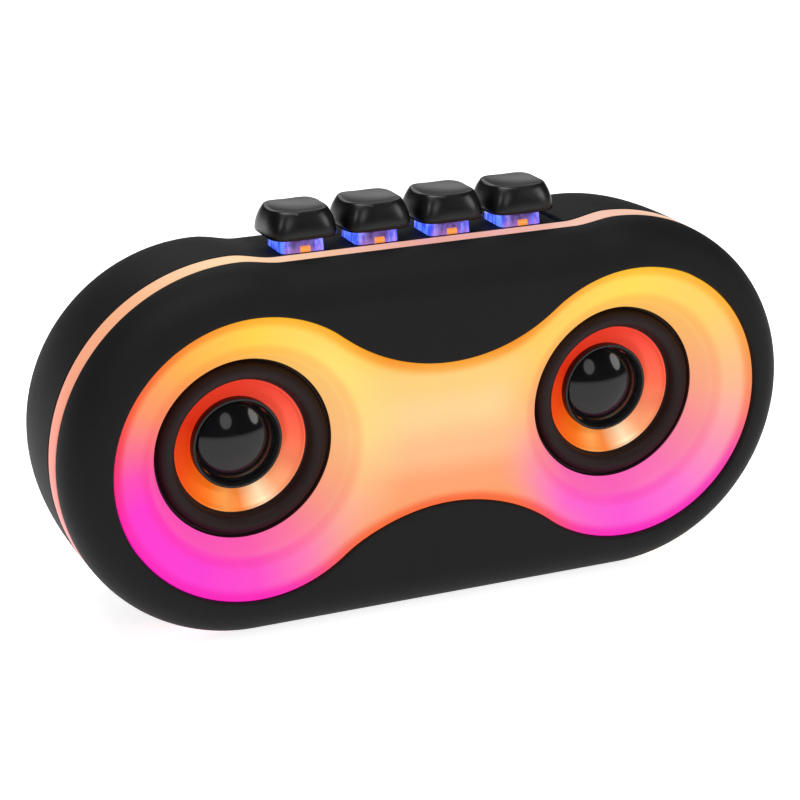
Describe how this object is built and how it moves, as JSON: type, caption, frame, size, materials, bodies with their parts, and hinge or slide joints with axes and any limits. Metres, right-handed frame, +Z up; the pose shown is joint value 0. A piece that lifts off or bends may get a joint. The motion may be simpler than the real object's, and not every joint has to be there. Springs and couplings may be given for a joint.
{
  "type": "party speaker",
  "caption": "Portable stadium-shaped speaker with twin drivers behind a lit dumbbell diffuser, a light band round the casing and mechanical keys on top.",
  "frame": {"origin": "on the surface it stands on, under the middle of the casing", "axes": "+X to the listener's right along the length, +Y from the drivers to the back, +Z up"},
  "size_m": [0.1882, 0.049, 0.0988],
  "materials": {
    "soft_touch_black": "soft-touch matte paint over black plastic",
    "satin_black": "satin moulded plastic",
    "diffuser": "milky translucent plastic, lit from behind",
    "band": "milky translucent plastic, lit from behind",
    "dome_gloss": "polished",
    "copper_cone": "copper-tinted metal film, fine radial spin lines",
    "rubber": "matte",
    "steel": "plated",
    "ferrite": "matt grey",
    "spider_cloth": "varnished woven cloth",
    "coil": "enamelled copper winding",
    "switch_blue": "clear blue, glossy",
    "stem": "smooth",
    "board": "solder mask",
    "light_board": "white solder mask",
    "cell": "shrink wrap",
    "lead": "smooth insulation"
  },
  "bodies": {
    "casing": {"front_shell": "soft_touch_black", "rear_shell": "soft_touch_black", "light_band": "band", "front_diffuser": "diffuser", "driver_baffle": "satin_black", "light_board": "light_board", "foot_left": "rubber", "foot_right": "rubber", "key_board": "board", "main_board": "board", "port_panel": "satin_black", "usb_socket": "steel", "card_socket": "steel", "aux_socket": "satin_black", "battery_cell": "cell", "battery_cradle": "satin_black", "driver_lead_left": "lead", "driver_lead_right": "lead", "battery_lead": "lead", "casing_screw_1": "steel", "casing_screw_2": "steel", "casing_screw_3": "steel", "casing_screw_4": "steel", "left_basket": "steel", "left_magnet": "ferrite", "left_surround": "rubber", "left_spider": "spider_cloth", "right_basket": "steel", "right_magnet": "ferrite", "right_surround": "rubber", "right_spider": "spider_cloth", "switch_housing_1": "switch_blue", "switch_base_1": "satin_black", "switch_spring_1": "steel", "switch_housing_2": "switch_blue", "switch_base_2": "satin_black", "switch_spring_2": "steel", "switch_housing_3": "switch_blue", "switch_base_3": "satin_black", "switch_spring_3": "steel", "switch_housing_4": "switch_blue", "switch_base_4": "satin_black", "switch_spring_4": "steel"},
    "key_1": {"keycap_1": "satin_black", "switch_stem_1": "stem"},
    "key_2": {"keycap_2": "satin_black", "switch_stem_2": "stem"},
    "key_3": {"keycap_3": "satin_black", "switch_stem_3": "stem"},
    "key_4": {"keycap_4": "satin_black", "switch_stem_4": "stem"},
    "left_diaphragm": {"left_cone": "copper_cone", "left_dust_cap": "dome_gloss", "left_voice_coil": "coil"},
    "right_diaphragm": {"right_cone": "copper_cone", "right_dust_cap": "dome_gloss", "right_voice_coil": "coil"}
  },
  "joints": [
    {"name": "key_1_press", "type": "slide", "parent": "casing", "child": "key_1", "axis": [0, 0, -1], "range_m": [0, 0.0031], "stiffness_N_per_m": 90, "springref_m": -0.0044, "deforming": ["switch_spring_1"]},
    {"name": "key_2_press", "type": "slide", "parent": "casing", "child": "key_2", "axis": [0, 0, -1], "range_m": [0, 0.0031], "stiffness_N_per_m": 90, "springref_m": -0.0044, "deforming": ["switch_spring_2"]},
    {"name": "key_3_press", "type": "slide", "parent": "casing", "child": "key_3", "axis": [0, 0, -1], "range_m": [0, 0.0031], "stiffness_N_per_m": 90, "springref_m": -0.0044, "deforming": ["switch_spring_3"]},
    {"name": "key_4_press", "type": "slide", "parent": "casing", "child": "key_4", "axis": [0, 0, -1], "range_m": [0, 0.0031], "stiffness_N_per_m": 90, "springref_m": -0.0044, "deforming": ["switch_spring_4"]},
    {"name": "left_diaphragm_stroke", "type": "slide", "parent": "casing", "child": "left_diaphragm", "axis": [0, -1, 0], "range_m": [-0.0012, 0.0012], "stiffness_N_per_m": 1100, "deforming": ["left_surround", "left_spider"]},
    {"name": "right_diaphragm_stroke", "type": "slide", "parent": "casing", "child": "right_diaphragm", "axis": [0, -1, 0], "range_m": [-0.0012, 0.0012], "stiffness_N_per_m": 1100, "deforming": ["right_surround", "right_spider"]}
  ]
}
